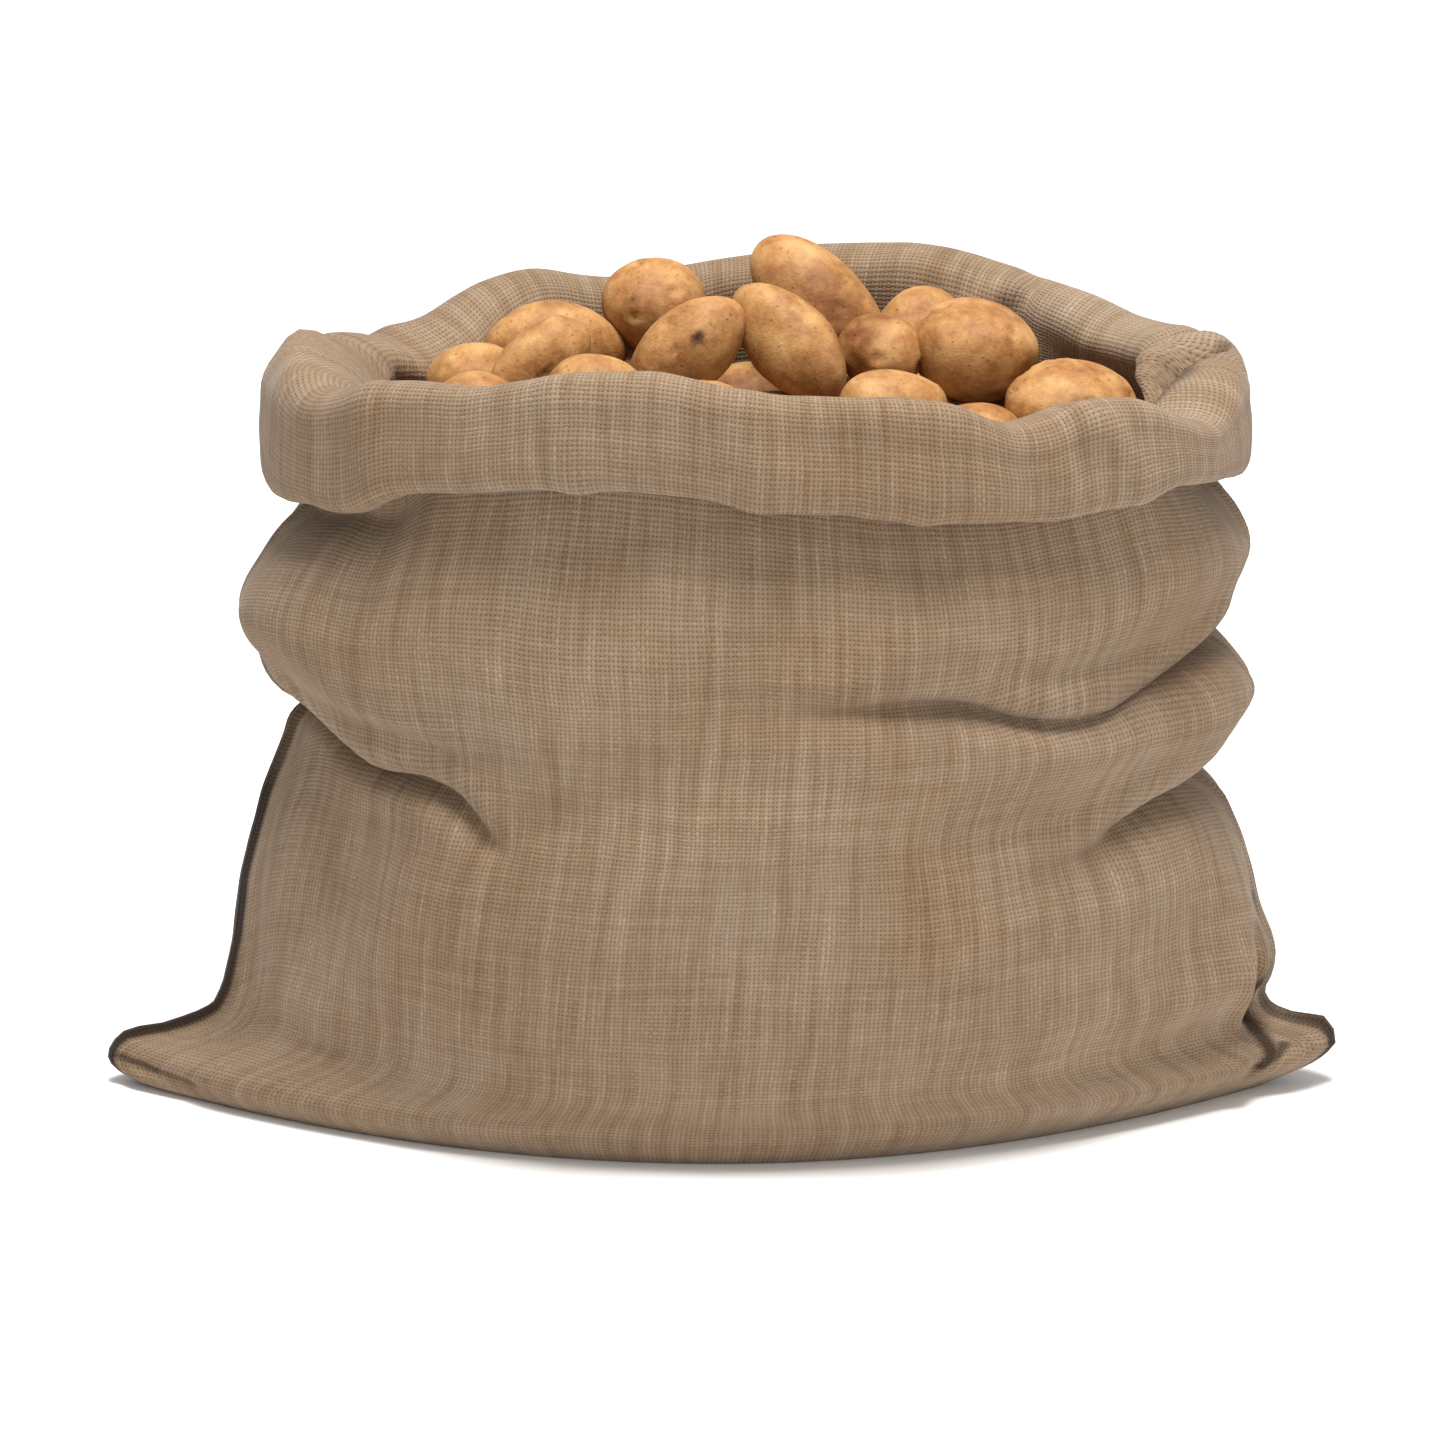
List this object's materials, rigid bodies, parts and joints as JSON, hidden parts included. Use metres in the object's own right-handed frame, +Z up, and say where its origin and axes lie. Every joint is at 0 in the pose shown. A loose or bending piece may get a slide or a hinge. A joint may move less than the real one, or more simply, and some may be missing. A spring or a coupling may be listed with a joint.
{
  "type": "hessian sack of potatoes",
  "caption": "Open hessian sack standing full of potatoes, its mouth rolled down into a plump collar, with creased sides and two bottom corners lying out on the floor.",
  "frame": {"origin": "on the floor under the middle of the sack, midway between its two bottom corners", "axes": "+X along the sack's width to its right-hand corner, +Y from its front to its back, +Z up"},
  "size_m": [0.6003, 0.2825, 0.4179],
  "materials": {
    "hessian": "matte plain-woven jute",
    "potato_skin": "smooth thin potato skin with eyes and freckles"
  },
  "bodies": {
    "root": {"sack": "hessian", "potato_bed": "potato_skin", "potato_01": "potato_skin", "potato_02": "potato_skin", "potato_03": "potato_skin", "potato_04": "potato_skin", "potato_05": "potato_skin", "potato_06": "potato_skin", "potato_07": "potato_skin", "potato_08": "potato_skin", "potato_09": "potato_skin", "potato_10": "potato_skin", "potato_11": "potato_skin", "potato_12": "potato_skin", "potato_13": "potato_skin", "potato_14": "potato_skin", "potato_15": "potato_skin", "potato_16": "potato_skin", "potato_17": "potato_skin"}
  },
  "joints": []
}
